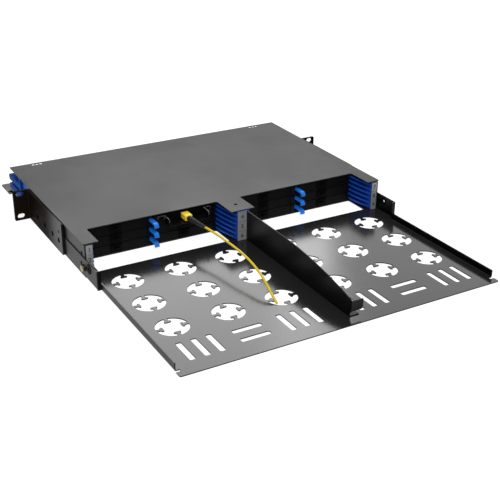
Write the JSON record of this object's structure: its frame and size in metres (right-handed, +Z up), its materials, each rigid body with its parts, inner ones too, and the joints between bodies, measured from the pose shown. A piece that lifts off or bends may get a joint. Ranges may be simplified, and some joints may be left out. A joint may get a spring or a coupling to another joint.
{
  "type": "rack-mount fibre enclosure",
  "caption": "One-unit rack housing for fibre modules, with sliding split trays, blue guides and latches, a drop door in front and a perforated cable tray behind.",
  "frame": {"origin": "on the underside of the floor, on the centre line, in the plane of the rack ears' near faces", "axes": "+X to the right seen from the cable tray, +Y towards the patching side and its door, +Z up"},
  "size_m": [0.4826, 0.5856, 0.0436],
  "materials": {
    "case_black": "satin black powder coat",
    "fastener_black": "black oxide",
    "stud_brass": "turned",
    "guide_blue": "moulded, semi-gloss",
    "module_black": "moulded, matt",
    "adapter_blue": "moulded",
    "cap_black": "soft moulded",
    "label_grey": "printed film",
    "plug_yellow": "moulded",
    "cable_yellow": "extruded jacket",
    "boot_black": "soft moulded"
  },
  "bodies": {
    "chassis": {"cable_tray": "case_black", "case_fasteners": "fastener_black", "centre_divider": "case_black", "centre_guide": "guide_blue", "chassis": "case_black", "front_guide_left": "guide_blue", "front_guide_right": "guide_blue", "hinge_pins": "fastener_black", "jumper_cable": "cable_yellow", "keyhole_plugs": "cap_black", "keyhole_studs": "stud_brass", "port_label_centre": "label_grey", "port_label_left": "label_grey", "port_label_right": "label_grey", "rack_bracket_left": "case_black", "rack_bracket_right": "case_black", "side_guide_left": "guide_blue", "side_guide_right": "guide_blue", "top_cover": "case_black"},
    "slide_left_lower": {"dust_caps_left_lower": "cap_black", "front_adapters_left_lower": "adapter_blue", "module_inner_left_lower": "module_black", "module_outer_left_lower": "module_black", "slide_frame_left_lower": "module_black"},
    "latch_left_lower": {"release_latch_left_lower": "guide_blue"},
    "slide_left_middle": {"dust_caps_left_middle": "cap_black", "front_adapters_left_middle": "adapter_blue", "module_inner_left_middle": "module_black", "module_outer_left_middle": "module_black", "slide_frame_left_middle": "module_black"},
    "latch_left_middle": {"release_latch_left_middle": "guide_blue"},
    "slide_left_upper": {"dust_caps_left_upper": "cap_black", "front_adapters_left_upper": "adapter_blue", "module_inner_left_upper": "module_black", "module_outer_left_upper": "module_black", "slide_frame_left_upper": "module_black", "trunk_adapter": "module_black", "port_guard": "case_black", "jumper_plug": "plug_yellow", "jumper_boot": "boot_black"},
    "latch_left_upper": {"release_latch_left_upper": "guide_blue"},
    "slide_right_lower": {"dust_caps_right_lower": "cap_black", "front_adapters_right_lower": "adapter_blue", "module_inner_right_lower": "module_black", "module_outer_right_lower": "module_black", "slide_frame_right_lower": "module_black"},
    "latch_right_lower": {"release_latch_right_lower": "guide_blue"},
    "slide_right_middle": {"dust_caps_right_middle": "cap_black", "front_adapters_right_middle": "adapter_blue", "module_inner_right_middle": "module_black", "module_outer_right_middle": "module_black", "slide_frame_right_middle": "module_black"},
    "latch_right_middle": {"release_latch_right_middle": "guide_blue"},
    "slide_right_upper": {"dust_caps_right_upper": "cap_black", "front_adapters_right_upper": "adapter_blue", "module_inner_right_upper": "module_black", "module_outer_right_upper": "module_black", "slide_frame_right_upper": "module_black"},
    "latch_right_upper": {"release_latch_right_upper": "guide_blue"},
    "front_door": {"front_door": "case_black"}
  },
  "joints": [
    {"name": "slide_left_lower", "type": "slide", "parent": "chassis", "child": "slide_left_lower", "axis": [0, 1, 0], "range_m": [0, 0.08]},
    {"name": "latch_left_lower", "type": "hinge", "parent": "slide_left_lower", "child": "latch_left_lower", "pos_m": [-0.1102, -0.1505, 0.00855], "axis": [1, 0, 0], "range_deg": [0, 4], "stiffness_Nm_per_rad": 0.5, "springref_deg": -2.86},
    {"name": "slide_left_middle", "type": "slide", "parent": "chassis", "child": "slide_left_middle", "axis": [0, 1, 0], "range_m": [0, 0.08]},
    {"name": "latch_left_middle", "type": "hinge", "parent": "slide_left_middle", "child": "latch_left_middle", "pos_m": [-0.1102, -0.1505, 0.02185], "axis": [1, 0, 0], "range_deg": [0, 4], "stiffness_Nm_per_rad": 0.5, "springref_deg": -2.86},
    {"name": "slide_left_upper", "type": "slide", "parent": "chassis", "child": "slide_left_upper", "axis": [0, 1, 0], "range_m": [0, 0.08], "deforming": ["jumper_cable"]},
    {"name": "latch_left_upper", "type": "hinge", "parent": "slide_left_upper", "child": "latch_left_upper", "pos_m": [-0.1102, -0.1505, 0.03515], "axis": [1, 0, 0], "range_deg": [0, 4], "stiffness_Nm_per_rad": 0.5, "springref_deg": -2.86},
    {"name": "slide_right_lower", "type": "slide", "parent": "chassis", "child": "slide_right_lower", "axis": [0, 1, 0], "range_m": [0, 0.08]},
    {"name": "latch_right_lower", "type": "hinge", "parent": "slide_right_lower", "child": "latch_right_lower", "pos_m": [0.1102, -0.1505, 0.00855], "axis": [1, 0, 0], "range_deg": [0, 4], "stiffness_Nm_per_rad": 0.5, "springref_deg": -2.86},
    {"name": "slide_right_middle", "type": "slide", "parent": "chassis", "child": "slide_right_middle", "axis": [0, 1, 0], "range_m": [0, 0.08]},
    {"name": "latch_right_middle", "type": "hinge", "parent": "slide_right_middle", "child": "latch_right_middle", "pos_m": [0.1102, -0.1505, 0.02185], "axis": [1, 0, 0], "range_deg": [0, 4], "stiffness_Nm_per_rad": 0.5, "springref_deg": -2.86},
    {"name": "slide_right_upper", "type": "slide", "parent": "chassis", "child": "slide_right_upper", "axis": [0, 1, 0], "range_m": [0, 0.08]},
    {"name": "latch_right_upper", "type": "hinge", "parent": "slide_right_upper", "child": "latch_right_upper", "pos_m": [0.1102, -0.1505, 0.03515], "axis": [1, 0, 0], "range_deg": [0, 4], "stiffness_Nm_per_rad": 0.5, "springref_deg": -2.86},
    {"name": "front_door_hinge", "type": "hinge", "parent": "chassis", "child": "front_door", "pos_m": [0, 0.097, 0.004], "axis": [1, 0, 0], "range_deg": [0, 90]}
  ]
}
